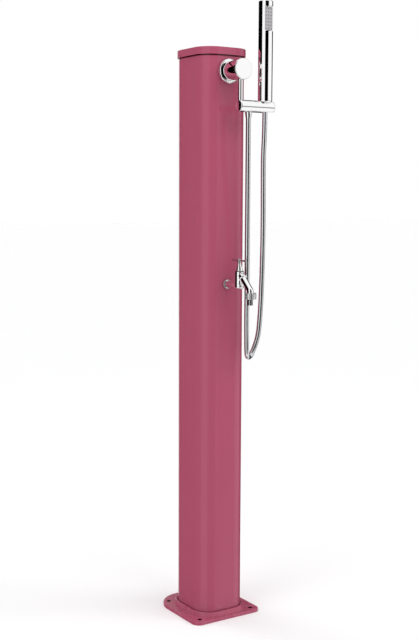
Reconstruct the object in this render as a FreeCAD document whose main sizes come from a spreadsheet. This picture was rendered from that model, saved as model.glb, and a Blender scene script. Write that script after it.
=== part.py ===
import FreeCAD, Part

import math
import os
import re

import Sketcher
from FreeCAD import Placement, Rotation, Vector

# Outdoor shower post. Millimetres, +Z up. The origin is on the floor, on the column's middle line.
# The valve and the tap stand on the front of the column, which faces -Y.

UP = Rotation()
DOWN = Rotation(Vector(1, 0, 0), 180)
OUT = Rotation(Vector(1, 0, 0), 90)      # away from the front wall, along -Y
RIGHT = Rotation(Vector(0, 1, 0), 90)    # along +X

SIZES = [
    ("total_height", 1200, "floor to the top of the cap"),
    # column, an extruded tube with two tight front corners and two wide rear corners
    ("column_width", 112, "along X"),
    ("column_depth", 133, "along Y"),
    ("column_front_round", 36, "radius of the front corners"),
    ("column_rear_round", 45, "radius of the rear corners"),
    ("column_wall", 2.5, "wall thickness"),
    ("port_radius", 5, "screw ports inside the corners, outside radius"),
    ("port_hole", 2.1, "radius of a screw port's hole"),
    ("port_sink", 1.5, "how far a screw port runs into the wall"),
    # base plate
    ("plate_width", 166, "along X"),
    ("plate_depth", 178, "along Y"),
    ("plate_shift", 6, "the plate's middle behind the column's middle"),
    ("plate_front_round", 16, "radius of the front corners"),
    ("plate_rear_round", 59, "radius of the rear corners"),
    ("plate_thick", 7, "plate thickness"),
    ("plate_edge", 1.5, "rounding of the plate's top edge"),
    ("plate_floor", 5, "thickness under the column"),
    ("collar_height", 9, "collar above the plate"),
    ("collar_foot", 9.5, "collar's foot outside the column"),
    ("collar_lip", 5.8, "collar's lip outside the column"),
    ("collar_round", 1.2, "rounding of the collar's lip"),
    ("groove_wide", 2.4, "groove round the column in the collar"),
    ("groove_deep", 3, "groove round the column in the collar"),
    ("socket_gap", 0.4, "clearance round the column in its socket and in the cap"),
    ("anchor_pitch_x", 130, "anchor holes, across"),
    ("anchor_front", 68, "front anchor holes before the column's middle"),
    ("anchor_rear", 60, "rear anchor holes behind the column's middle"),
    ("anchor_hole", 4.5, "radius of an anchor hole"),
    ("supply_opening", 24, "radius of the opening for the supply pipe"),
    # screws
    ("screw_radius", 2, "shank of the plate and bracket screws"),
    ("screw_head", 4, "radius of a screw's head"),
    ("screw_head_deep", 2.2, "height of a screw's head"),
    ("screw_length", 22, "plate screw, overall"),
    ("bracket_screw_length", 7, "bracket screw, under the head"),
    ("fit_gap", 0.15, "clearance of parts that fit together and stay"),
    ("run_gap", 0.06, "radial clearance of a shaft in its hole"),
    # cap
    ("cap_height", 15, "height of the cap"),
    ("cap_overhang", 3.5, "cap outside the column"),
    ("cap_seat", 5, "how far the column stands in the cap"),
    ("cap_top", 3, "thickness of the cap's top"),
    ("cap_edge", 1.6, "rounding of the cap's top edge"),
    ("tab_width", 30, "the cap's four tabs"),
    ("tab_thick", 2.5, "thickness of a tab"),
    ("tab_reach", 9, "a tab below the cap's rim"),
    # where the fittings stand
    ("fittings_x", -1, "fittings right of the column's middle"),
    ("valve_z", 1151.8, "valve above the floor"),
    ("tap_z", 717.5, "tap inlet above the floor"),
    ("riser_back", 36.5, "supply pipe behind the front wall's face"),
    # supply
    ("pipe_radius", 7.5, "supply pipe"),
    ("pipe_bore", 6.5, "bore radius of the supply pipe"),
    ("socket_depth", 12, "pipe in a fitting's socket"),
    ("socket_wall", 3.5, "wall of a fitting's socket"),
    ("thread_small", 10.4, "half inch thread, outside radius"),
    ("thread_large", 13.2, "three quarter inch thread, outside radius"),
    ("thread_tap", 8.2, "three eighths inch thread of the tap, outside radius"),
    ("branch_wall", 2.5, "wall of the tee's branch"),
    ("nut_thick", 6, "backnut"),
    ("nut_wall", 4.2, "backnut, thread to flat"),
    ("washer_rim", 0.4, "washer outside its backnut's flats"),
    ("washer_thick", 1.5, "washer inside the wall"),
    ("tail_length", 22, "a fitting's tail behind the wall's face"),
    ("bracket_height", 28, "inlet bracket above the plate"),
    ("bracket_span", 28, "middle to the inside of a leg"),
    ("bracket_foot", 15, "length of a foot"),
    ("bracket_width", 32, "inlet bracket, front to back"),
    ("bracket_thick", 2.5, "inlet bracket's sheet"),
    ("nipple_reach", 18, "inlet nipple below the bracket's web"),
    ("nipple_shank", 10.8, "inlet nipple in the bracket and its backnut, radius"),
    ("thread_end", 0.3, "end of a free thread before its nut"),
    # shower valve
    ("seal_thick", 1, "rubber ring behind a flange"),
    ("flange_radius", 25, "valve flange"),
    ("flange_thick", 9, "valve flange, on its seal"),
    ("flange_round", 3.5, "front edge of the valve flange"),
    ("flange_lip", 2, "flange floor under the valve body"),
    ("neck_radius", 19.5, "valve body"),
    ("neck_reach", 52, "valve body's end from the wall"),
    ("cartridge_radius", 12, "cartridge"),
    ("cartridge_back", 25.5, "cartridge's back from the wall"),
    ("cartridge_length", 24, "cartridge"),
    ("stem_radius", 4, "valve stem"),
    ("stem_sink", 12, "stem in the cartridge"),
    ("knob_radius", 21, "knob"),
    ("knob_thick", 5, "knob"),
    ("knob_gap", 0.5, "knob off the valve body"),
    ("knob_edge", 1.6, "knob's front edge"),
    ("knob_cover", 1.2, "knob in front of the stem"),
    ("hub_radius", 9, "knob's hub"),
    ("hub_length", 2.5, "knob's hub"),
    ("grub_radius", 1.5, "grub screw"),
    ("grub_length", 9, "grub screw"),
    # drop tube and holder arm
    ("drop_out", 45.7, "drop tube from the wall"),
    ("drop_radius", 5, "drop tube"),
    ("drop_bore", 3.2, "drop tube's bore"),
    ("drop_sink", 6, "drop tube in the body and in the arm"),
    ("arm_z", 1079.8, "holder arm above the floor"),
    ("arm_radius", 12, "holder arm"),
    ("arm_end_x", 78.8, "holder arm's free end"),
    ("arm_end_round", 2.5, "rounding of the arm's ends"),
    ("holder_x", 59.8, "handset's middle line"),
    ("foot_sink", 4, "handset below the arm's top"),
    ("slot_half", 6, "half the slot that lets the hose out"),
    ("outlet_x", 19, "hose outlet's middle line"),
    ("outlet_tail", 4, "hose outlet tail, radius"),
    ("outlet_tail_deep", 7, "hose outlet tail in the arm"),
    # hose
    ("hose_radius", 5.25, "hose"),
    ("hose_bore", 3.4, "bore of the hose nuts"),
    ("outlet_nut_radius", 6.9, "upper end of the outlet nut"),
    ("outlet_nut_length", 12.2, "outlet nut"),
    ("cone_top", 7.3, "upper end of the handset's cone nut"),
    ("cone_foot", 5.9, "lower end of the handset's cone nut"),
    ("cone_length", 17, "handset's cone nut"),
    ("seat_gap", 0.3, "clearance of the handset in its holder"),
    # handset
    ("stick_radius", 15, "handset"),
    ("stick_length", 202.7, "handset, foot to top"),
    ("stick_foot_round", 5, "rounding of the foot"),
    ("stick_top_round", 2, "rounding of the top"),
    ("stick_cap", 5, "height of the handset's end cap"),
    ("stick_bore", 11.5, "bore of the handset"),
    ("spigot_radius", 5.7, "handset's thread in the cone nut"),
    ("spigot_length", 10, "handset's thread in the cone nut"),
    ("face_length", 49.5, "spray face"),
    ("face_half", 10.9, "half the spray face's width"),
    ("face_below_top", 11, "spray face below the handset's top"),
    ("face_thick", 1.6, "spray face"),
    ("mat_thick", 1, "nozzle mat behind the spray face"),
    ("nozzle_radius", 0.9, "nozzle"),
    ("nozzle_hole", 1.1, "nozzle's hole in the spray face"),
    ("nozzle_proud", 0.6, "nozzle in front of the spray face"),
    ("nozzle_pitch_x", 6.4, "nozzles, across"),
    ("nozzle_pitch_z", 6.5, "nozzles, up"),
    ("nozzle_columns", 3, "nozzles across"),
    ("nozzle_rows", 7, "nozzles up"),
    # garden tap
    ("rose_radius", 9.3, "front of the tap's wall rose"),
    ("rose_foot", 10.3, "foot of the tap's wall rose"),
    ("rose_rim", 1, "height of the rose's foot"),
    ("rose_thick", 4.5, "tap's wall rose"),
    ("tap_out", 46.6, "tap barrel from the wall"),
    ("inlet_radius", 7.5, "tap's inlet arm"),
    ("barrel_radius", 10, "tap barrel"),
    ("barrel_top", 28.5, "tap barrel's top above the inlet"),
    ("barrel_foot", 6.5, "tap barrel's foot below the inlet"),
    ("bonnet_radius", 7.6, "bonnet's foot"),
    ("bonnet_neck", 3.9, "bonnet's neck"),
    ("bonnet_height", 17, "bonnet"),
    ("bonnet_collar", 1.6, "collar under the bonnet"),
    ("bonnet_inset", 1.2, "collar inside the barrel's edge"),
    ("headwork_radius", 6.5, "tap's ceramic headwork"),
    ("headwork_length", 16, "tap's ceramic headwork"),
    ("tap_stem", 2.2, "tap stem"),
    ("tap_stem_sink", 6, "tap stem in the headwork"),
    ("hub_foot_radius", 3.4, "foot of the tap handle's hub"),
    ("hub_top_radius", 4.9, "top of the tap handle's hub"),
    ("hub_top_height", 8, "tap handle's hub"),
    ("hub_socket", 4.6, "tap stem in the handle's hub"),
    ("screw_proud", 0.9, "height of the handle screw's head"),
    ("handle_gap", 0.4, "handle off the bonnet"),
    ("bar_half", 26, "half the handle's bar"),
    ("bar_below_top", 3, "bar's middle line below the hub's top"),
    ("bar_waist", 1.6, "bar at the hub"),
    ("bar_end", 2.4, "bar at its ends"),
    ("spout_radius", 6.8, "spout"),
    ("spout_bore", 4.8, "bore of the spout"),
    ("spout_z", 20.8, "spout's root above the inlet"),
    ("spout_bend", 8.5, "spout's upper bend from the barrel's middle line"),
    ("spout_collar", 8.4, "radius of the collar at the spout's root"),
    ("spout_collar_at", 5, "collar along the spout from its upper bend"),
    ("spout_collar_thick", 2.6, "collar at the spout's root"),
    ("spout_reach", 39.5, "spout's mouth from the barrel"),
    ("spout_knee_z", -8, "spout's knee, above the inlet"),
    ("spout_mouth_z", -15.5, "spout's mouth, above the inlet"),
    ("outlet_nut_top", -12.5, "top of the knurled nut, above the inlet"),
    ("knurled_radius", 12.3, "knurled nut"),
    ("knurled_height", 12.5, "knurled nut"),
    ("knurl_radius", 0.9, "a groove of the knurled nut"),
    ("knurls", 24, "grooves round the knurled nut"),
    ("nozzle_out", 5.75, "tap nozzle"),
    ("nozzle_step", 0.3, "how much slimmer the tap nozzle is in its nut"),
    ("nozzle_bore", 4, "bore of the tap nozzle"),
    ("nozzle_drop", 12.5, "tap nozzle below the nut"),
    ("nozzle_head", 8.6, "tap nozzle's head in the nut"),
    ("nozzle_head_thick", 3, "tap nozzle's head"),
]

# The hose's route, chosen by hand: down from the outlet nut, round the loop, up to the cone nut.
HOSE_ROUTE = [
    (19.0, -112.2, 1055.4),
    (19.0, -112.2, 1013.0),
    (20.6, -109.6, 958.0),
    (24.1, -104.7, 885.0),
    (26.5, -101.1, 805.0),
    (27.5, -99.7, 735.0),
    (26.3, -101.3, 670.0),
    (23.7, -105.1, 626.0),
    (22.7, -107.3, 600.0),
    (23.1, -107.1, 578.0),
    (29.5, -100.9, 564.8),
    (41.1, -94.9, 565.4),
    (49.7, -92.5, 577.5),
    (56.3, -93.1, 592.5),
    (60.1, -95.7, 611.0),
    (61.9, -97.7, 637.0),
    (63.1, -100.5, 686.0),
    (62.8, -103.7, 745.0),
    (61.9, -107.2, 830.0),
    (58.9, -110.2, 915.0),
    (57.4, -111.7, 985.0),
    (59.8, -112.2, 1028.0),
    (59.8, -112.2, 1070.8),
]

doc = FreeCAD.newDocument("shower_post")
sheet = doc.addObject("Spreadsheet::Sheet", "Dims")
for row, (alias, number, note) in enumerate(SIZES, 1):
    sheet.set("A%d" % row, note)
    sheet.set("B%d" % row, str(number))
    sheet.setAlias("B%d" % row, alias)
doc.recompute()

ALIASES = re.compile(r"\b(%s)\b" % "|".join(alias for alias, _, _ in SIZES))
pieces = []


def size(expression):
    """The present value of an expression on the sheet's sizes."""
    return float(sheet.evalExpression(str(expression)))


def bind(thing, prop, expression):
    """Ties a property to an expression on the sheet's sizes."""
    thing.setExpression(prop, ALIASES.sub(r"Dims.\1", str(expression)))


def place(thing, at, turn=UP):
    """Puts a thing at three expressions, turned so that its own +Z points as asked."""
    thing.Placement = Placement(Vector(*(size(e) for e in at)), turn)
    for axis, expression in zip("xyz", at):
        bind(thing, "Placement.Base." + axis, expression)


def piece(thing, label):
    """Marks a finished object as one piece of the product."""
    thing.Label = label
    pieces.append(thing)
    return thing


def plane(body, role):
    return [feature for feature in body.Origin.OriginFeatures if feature.Role == role][0]


def new_sketch(body, role="XY_Plane", offset="0"):
    """A sketch on one of the body's own planes, moved along the plane's normal."""
    sketch = body.newObject("Sketcher::SketchObject", "Sketch")
    sketch.AttachmentSupport = [(plane(body, role), "")]
    sketch.MapMode = "FlatFace"
    sketch.AttachmentOffset = Placement(Vector(0, 0, size(offset)), Rotation())
    bind(sketch, "AttachmentOffset.Base.z", offset)
    return sketch


def constrain(sketch, kind, geometry, expression):
    """A dimension that follows an expression. geometry is what the constraint takes before its value."""
    number = sketch.addConstraint(Sketcher.Constraint(kind, *geometry, size(expression)))
    bind(sketch, "Constraints[%d]" % number, expression)


def polygon(sketch, points):
    """A closed run of straight lines through points given as pairs of expressions."""
    corners = [Vector(size(x), size(y), 0) for x, y in points]
    last = len(corners) - 1
    for i, corner in enumerate(corners):
        sketch.addGeometry(Part.LineSegment(corner, corners[(i + 1) % len(corners)]))
    for i in range(len(corners)):
        sketch.addConstraint(Sketcher.Constraint("Coincident", i, 2, 0 if i == last else i + 1, 1))
    for i, (x, y) in enumerate(points):
        constrain(sketch, "DistanceX", (-1, 1, i, 1), x)
        constrain(sketch, "DistanceY", (-1, 1, i, 1), y)


def circle(sketch, x, y, radius):
    """A circle at two expressions."""
    at = Vector(size(x), size(y), 0)
    number = sketch.addGeometry(Part.Circle(at, Vector(0, 0, 1), size(radius)))
    constrain(sketch, "Radius", (number,), radius)
    constrain(sketch, "DistanceX", (-1, 1, number, 3), x)
    constrain(sketch, "DistanceY", (-1, 1, number, 3), y)


def outline(sketch, width, depth, front_round, rear_round, shift="0"):
    """The post's plan: a rectangle with two front corners and two wider rear ones."""
    half = "(%s)/2" % width
    front = "(%s)-(%s)/2" % (shift, depth)
    rear = "(%s)+(%s)/2" % (shift, depth)
    x, f, r = size(half), size(front), size(rear)
    fr, rr = size(front_round), size(rear_round)
    runs = [
        ((-x + fr, f), (x - fr, f), (x - fr, f + fr), fr, -90),
        ((x, f + fr), (x, r - rr), (x - rr, r - rr), rr, 0),
        ((x - rr, r), (-x + rr, r), (-x + rr, r - rr), rr, 90),
        ((-x, r - rr), (-x, f + fr), (-x + fr, f + fr), fr, 180),
    ]
    for start, end, centre, radius, angle in runs:
        sketch.addGeometry(Part.LineSegment(Vector(*start, 0), Vector(*end, 0)))
        ring = Part.Circle(Vector(*centre, 0), Vector(0, 0, 1), radius)
        first = math.radians(angle)
        sketch.addGeometry(Part.ArcOfCircle(ring, first, first + math.pi / 2))
    for i in range(8):
        sketch.addConstraint(Sketcher.Constraint("Tangent", i, 2, (i + 1) % 8, 1))
    for i, kind in ((0, "Horizontal"), (2, "Vertical"), (4, "Horizontal"), (6, "Vertical")):
        sketch.addConstraint(Sketcher.Constraint(kind, i))
    for i, radius in ((1, front_round), (3, rear_round), (5, rear_round), (7, front_round)):
        constrain(sketch, "Radius", (i,), radius)
    constrain(sketch, "DistanceY", (-1, 1, 0, 1), front)
    constrain(sketch, "DistanceX", (-1, 1, 2, 1), half)
    constrain(sketch, "DistanceY", (-1, 1, 4, 1), rear)
    constrain(sketch, "DistanceX", (-1, 1, 6, 1), "-" + half)


def pad(body, sketch, length, midplane=False):
    feature = body.newObject("PartDesign::Pad", "Pad")
    feature.Profile = sketch
    feature.Midplane = midplane
    bind(feature, "Length", length)
    doc.recompute()
    return feature


def pocket(body, sketch, length, reverse=False):
    """Cuts along the sketch's normal backwards, or forwards when reversed, and proves that it cut."""
    before = body.Shape.Volume
    feature = body.newObject("PartDesign::Pocket", "Pocket")
    feature.Profile = sketch
    feature.Reversed = reverse
    bind(feature, "Length", length)
    doc.recompute()
    if not body.Shape.Volume < before:
        raise RuntimeError("%s cuts nothing" % feature.Name)
    return feature


def round_edges(body, radius, wanted):
    """Rounds the edges that the test picks."""
    base = body.Tip
    names = ["Edge%d" % i for i, edge in enumerate(base.Shape.Edges, 1) if wanted(edge)]
    if not names:
        raise RuntimeError("no edge to round on " + body.Label)
    fillet = body.newObject("PartDesign::Fillet", "Fillet")
    fillet.Base = (base, names)
    bind(fillet, "Radius", radius)
    doc.recompute()
    return fillet


def level(z):
    """Picks the edges that lie flat at one height."""
    height = size(z)

    def test(edge):
        box = edge.BoundBox
        return abs(box.ZMin - height) < 0.001 and abs(box.ZMax - height) < 0.001

    return test


def ring_at(radius, z):
    """Picks the round edge of a turned piece at one radius and height."""
    flat = level(z)

    def test(edge):
        round_edge = hasattr(edge.Curve, "Radius")
        return round_edge and flat(edge) and abs(edge.Curve.Radius - size(radius)) < 0.001

    return test


def turned(profile, at=("0", "0", "0"), turn=UP, rounds=()):
    """A lathe-turned body: profile is pairs (radius, height), rounds is (edge radius, height, rounding)."""
    body = doc.addObject("PartDesign::Body", "Turned")
    sketch = new_sketch(body, "XZ_Plane")
    polygon(sketch, profile)
    spin = body.newObject("PartDesign::Revolution", "Revolution")
    spin.Profile = sketch
    spin.ReferenceAxis = (sketch, ["V_Axis"])
    spin.Angle = 360
    doc.recompute()
    for radius, z, rounding in rounds:
        round_edges(body, rounding, ring_at(radius, z))
    place(body, at, turn)
    return body


def cylinder(radius, length, at, turn=UP):
    rod = doc.addObject("Part::Cylinder", "Cylinder")
    bind(rod, "Radius", radius)
    bind(rod, "Height", length)
    place(rod, at, turn)
    return rod


def cone(foot, top, length, at, turn=UP):
    tapered = doc.addObject("Part::Cone", "Cone")
    bind(tapered, "Radius1", foot)
    bind(tapered, "Radius2", top)
    bind(tapered, "Height", length)
    place(tapered, at, turn)
    return tapered


def block(length, width, height, at):
    box = doc.addObject("Part::Box", "Box")
    bind(box, "Length", length)
    bind(box, "Width", width)
    bind(box, "Height", height)
    place(box, at)
    return box


def hexagon(flat, length, at, turn=UP):
    """A six-sided bar, flat is the middle to a flat."""
    prism = doc.addObject("Part::Prism", "Prism")
    prism.Polygon = 6
    bind(prism, "Circumradius", "(%s)/cos(30)" % flat)
    bind(prism, "Height", length)
    place(prism, at, turn)
    return prism


def joined(*parts):
    fuse = doc.addObject("Part::MultiFuse", "Fuse")
    fuse.Shapes = list(parts)
    fuse.Refine = True
    return fuse


def cut(base, *tools):
    """The base with every tool taken out of it."""
    result = doc.addObject("Part::Cut", "Cut")
    result.Base = base
    result.Tool = joined(*tools) if len(tools) > 1 else tools[0]
    result.Refine = True
    doc.recompute()
    if not result.Shape.Volume < base.Shape.Volume:
        raise RuntimeError("a cut took nothing from " + base.Label)
    return result


def group(*parts):
    """Like pieces that stay separate solids in one node."""
    compound = doc.addObject("Part::Compound", "Group")
    compound.Links = list(parts)
    return compound


def bent_wire(points, radius=None):
    """Straight runs joined by tangent arcs. Without a radius, each arc is as large as its runs allow."""
    corners = [Vector(*point) for point in points]
    edges = []
    radii = []
    start = corners[0]
    for before, corner, after in zip(corners, corners[1:], corners[2:]):
        back = before - corner
        ahead = after - corner
        half_turn = (math.pi - back.getAngle(ahead)) / 2
        arc = radius or 0.45 * min(back.Length, ahead.Length) / math.tan(half_turn)
        reach = arc * math.tan(half_turn)
        back.normalize()
        ahead.normalize()
        first = corner + back * reach
        last = corner + ahead * reach
        inward = (back + ahead).normalize()
        middle = corner + inward * (arc / math.cos(half_turn) - arc)
        edges.append(Part.LineSegment(start, first).toShape())
        edges.append(Part.Arc(first, middle, last).toShape())
        radii.append(arc)
        start = last
    edges.append(Part.LineSegment(start, corners[-1]).toShape())
    return Part.Wire(edges), radii


def swept(wire, radius):
    """A solid round bar along a wire."""
    first = wire.Edges[0]
    ring = Part.Circle(first.valueAt(first.FirstParameter), first.tangentAt(first.FirstParameter), radius)
    return wire.makePipeShell([Part.Wire([ring.toShape()])], True, False)


# ---------------------------------------------------------------- base plate and column

FRONT = "(-column_depth/2)"                   # the front wall's outside face
PORT_FRONT_X = "(column_width/2 - column_front_round + (column_front_round - column_wall - port_radius"
PORT_FRONT_X += " + port_sink)*cos(45))"
PORT_FRONT_Y = "(-column_depth/2 + column_front_round - (column_front_round - column_wall - port_radius"
PORT_FRONT_Y += " + port_sink)*sin(45))"
PORT_REAR_X = "(column_width/2 - column_rear_round + (column_rear_round - column_wall - port_radius"
PORT_REAR_X += " + port_sink)*cos(45))"
PORT_REAR_Y = "(column_depth/2 - column_rear_round + (column_rear_round - column_wall - port_radius"
PORT_REAR_Y += " + port_sink)*sin(45))"
PORTS = [
    (PORT_FRONT_X, PORT_FRONT_Y),
    ("-" + PORT_FRONT_X, PORT_FRONT_Y),
    (PORT_REAR_X, PORT_REAR_Y),
    ("-" + PORT_REAR_X, PORT_REAR_Y),
]
RISER_Y = "(riser_back - column_depth/2)"
COLUMN_LENGTH = "(total_height - cap_height + cap_seat - plate_floor)"
BRACKET_SCREW_X = "(bracket_span + bracket_thick + bracket_foot/2)"


def column_outline(sketch, grow):
    """The column's plan, grown by an expression on every side."""
    outline(
        sketch,
        "column_width + 2*(%s)" % grow,
        "column_depth + 2*(%s)" % grow,
        "column_front_round + (%s)" % grow,
        "column_rear_round + (%s)" % grow,
    )


def make_base_plate():
    body = doc.addObject("PartDesign::Body", "PlateBlank")
    sketch = new_sketch(body)
    outline(sketch, "plate_width", "plate_depth", "plate_front_round", "plate_rear_round", "plate_shift")
    pad(body, sketch, "plate_thick")
    round_edges(body, "plate_edge", level("plate_thick"))
    foot = new_sketch(body, offset="plate_thick")
    column_outline(foot, "collar_foot")
    lip = new_sketch(body, offset="plate_thick + collar_height")
    column_outline(lip, "collar_lip")
    collar = body.newObject("PartDesign::AdditiveLoft", "Collar")
    collar.Profile = foot
    collar.Sections = [lip]
    collar.Ruled = True
    doc.recompute()
    round_edges(body, "collar_round", level("plate_thick + collar_height"))
    groove = new_sketch(body, offset="plate_thick + collar_height")
    column_outline(groove, "groove_wide")
    pocket(body, groove, "groove_deep")
    socket = new_sketch(body, offset="plate_floor")
    column_outline(socket, "socket_gap")
    pocket(body, socket, "plate_thick + collar_height", reverse=True)
    holes = [cylinder("supply_opening", "plate_thick*2", ("fittings_x", RISER_Y, "-plate_thick/2"))]
    for side in ("-", ""):
        for end in ("-anchor_front", "anchor_rear"):
            at = (side + "anchor_pitch_x/2", end, "-plate_thick/2")
            holes.append(cylinder("anchor_hole", "plate_thick*2", at))
    for x, y in PORTS:
        holes.append(cylinder("screw_radius + fit_gap", "plate_thick*2", (x, y, "-plate_thick/2")))
        head = cone("screw_head + fit_gap", "screw_radius + fit_gap", "screw_head_deep", (x, y, "0"))
        holes.append(head)
    for side in ("-", ""):
        at = ("fittings_x" + (side or "+") + BRACKET_SCREW_X, RISER_Y, "-plate_thick/2")
        holes.append(cylinder("screw_radius + fit_gap", "plate_thick*2", at))
    piece(cut(body, *holes), "base_plate")


def make_column():
    body = doc.addObject("PartDesign::Body", "ColumnBlank")
    outer = new_sketch(body, offset="plate_floor")
    column_outline(outer, "0")
    pad(body, outer, COLUMN_LENGTH)
    inner = new_sketch(body, offset="plate_floor")
    column_outline(inner, "-column_wall")
    pocket(body, inner, COLUMN_LENGTH, reverse=True)
    ports = [cylinder("port_radius", COLUMN_LENGTH, (x, y, "plate_floor")) for x, y in PORTS]
    tube = joined(body, *ports)
    holes = [cylinder("port_hole", COLUMN_LENGTH, (x, y, "plate_floor")) for x, y in PORTS]
    wall = ("fittings_x", FRONT + "+column_wall*2")
    holes.append(cylinder("thread_large + fit_gap*2", "column_wall*4", wall + ("valve_z",), OUT))
    holes.append(cylinder("thread_tap + fit_gap*2", "column_wall*4", wall + ("tap_z",), OUT))
    doc.recompute()
    piece(cut(tube, *holes), "column")


def make_top_cap():
    body = doc.addObject("PartDesign::Body", "CapBlank")
    rim = "total_height - cap_height"
    outer = new_sketch(body, offset=rim)
    column_outline(outer, "cap_overhang")
    pad(body, outer, "cap_height")
    round_edges(body, "cap_edge", level("total_height"))
    seat = new_sketch(body, offset=rim)
    column_outline(seat, "socket_gap")
    pocket(body, seat, "cap_seat", reverse=True)
    hollow = new_sketch(body, offset=rim)
    column_outline(hollow, "-column_wall - tab_thick - socket_gap")
    pocket(body, hollow, "cap_height - cap_top", reverse=True)
    reach = "cap_seat + tab_reach"
    bottom = "total_height - cap_height - tab_reach"
    side = "column_width/2 - column_wall - socket_gap"
    end = "column_depth/2 - column_wall - socket_gap"
    tabs = [
        block("tab_thick", "tab_width", reach, (side + "-tab_thick", "-tab_width/2", bottom)),
        block("tab_thick", "tab_width", reach, ("-(%s)" % side, "-tab_width/2", bottom)),
        block("tab_width", "tab_thick", reach, ("-tab_width/2", end + "-tab_thick", bottom)),
        block("tab_width", "tab_thick", reach, ("-tab_width/2", "-(%s)" % end, bottom)),
    ]
    piece(joined(body, *tabs), "top_cap")


def make_screws():
    sunk = [
        ("0", "0"),
        ("screw_head", "0"),
        ("screw_radius", "screw_head_deep"),
        ("screw_radius", "screw_length"),
        ("0", "screw_length"),
    ]
    piece(group(*[turned(sunk, (x, y, "0")) for x, y in PORTS]), "base_screws")
    pan = [
        ("0", "screw_head_deep"),
        ("screw_head*0.9", "screw_head_deep"),
        ("screw_head", "0"),
        ("screw_radius", "0"),
        ("screw_radius", "-bracket_screw_length"),
        ("0", "-bracket_screw_length"),
    ]
    top = "plate_floor + bracket_thick"
    both = [("fittings_x-" + BRACKET_SCREW_X), ("fittings_x+" + BRACKET_SCREW_X)]
    piece(group(*[turned(pan, (x, RISER_Y, top)) for x in both]), "bracket_screws")


# ---------------------------------------------------------------- supply inside the column

WEB_TOP = "(plate_floor + bracket_height)"
NIPPLE_TOP = "(%s + nut_thick)" % WEB_TOP
SOCKET_OUT = "(pipe_radius + fit_gap + socket_wall)"
PIPE_FOOT = "(%s + pipe_radius/2)" % NIPPLE_TOP


def make_inlet():
    body = doc.addObject("PartDesign::Body", "BracketBlank")
    half = "bracket_span"
    t = "bracket_thick"
    profile = [
        ("-(%s+%s+bracket_foot)" % (half, t), "0"),
        ("-%s" % half, "0"),
        ("-%s" % half, "bracket_height - %s" % t),
        (half, "bracket_height - %s" % t),
        (half, "0"),
        ("%s+%s+bracket_foot" % (half, t), "0"),
        ("%s+%s+bracket_foot" % (half, t), t),
        ("%s+%s" % (half, t), t),
        ("%s+%s" % (half, t), "bracket_height"),
        ("-(%s+%s)" % (half, t), "bracket_height"),
        ("-(%s+%s)" % (half, t), t),
        ("-(%s+%s+bracket_foot)" % (half, t), t),
    ]
    sketch = new_sketch(body, "XZ_Plane")
    polygon(sketch, profile)
    pad(body, sketch, "bracket_width", midplane=True)
    place(body, ("fittings_x", RISER_Y, "plate_floor"))
    web = ("fittings_x", RISER_Y, WEB_TOP + "-bracket_thick*2")
    holes = [cylinder("nipple_shank + fit_gap", "bracket_thick*3", web)]
    for sign in ("-", "+"):
        at = ("fittings_x" + sign + BRACKET_SCREW_X, RISER_Y, "plate_floor - bracket_thick")
        holes.append(cylinder("screw_radius + fit_gap", "bracket_thick*3", at))
    piece(cut(body, *holes), "inlet_bracket")

    low = "-bracket_thick - nipple_reach"
    nipple = [
        ("pipe_bore", low),
        ("thread_small", low),
        ("thread_small", "-bracket_thick - nut_thick - thread_end"),
        ("nipple_shank", "-bracket_thick - nut_thick - thread_end"),
        ("nipple_shank", "0"),
        ("nipple_shank + nut_wall", "0"),
        ("nipple_shank + nut_wall", "nut_thick"),
        (SOCKET_OUT, "nut_thick"),
        (SOCKET_OUT, "nut_thick + pipe_radius/2 + socket_depth"),
        ("pipe_radius + fit_gap", "nut_thick + pipe_radius/2 + socket_depth"),
        ("pipe_radius + fit_gap", "nut_thick + pipe_radius/2"),
        ("pipe_bore", "nut_thick + pipe_radius/2"),
    ]
    piece(turned(nipple, ("fittings_x", RISER_Y, WEB_TOP)), "inlet_nipple")
    under = ("fittings_x", RISER_Y, WEB_TOP + "-bracket_thick - nut_thick")
    nut = hexagon("nipple_shank + nut_wall", "nut_thick", under)
    piece(cut(nut, cylinder("nipple_shank + fit_gap", "nut_thick", under)), "inlet_backnut")


def pipe(label, low, high):
    """A stretch of supply pipe between two heights."""
    profile = [("pipe_bore", low), ("pipe_radius", low), ("pipe_radius", high), ("pipe_bore", high)]
    piece(turned(profile, ("fittings_x", RISER_Y, "0")), label)


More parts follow.
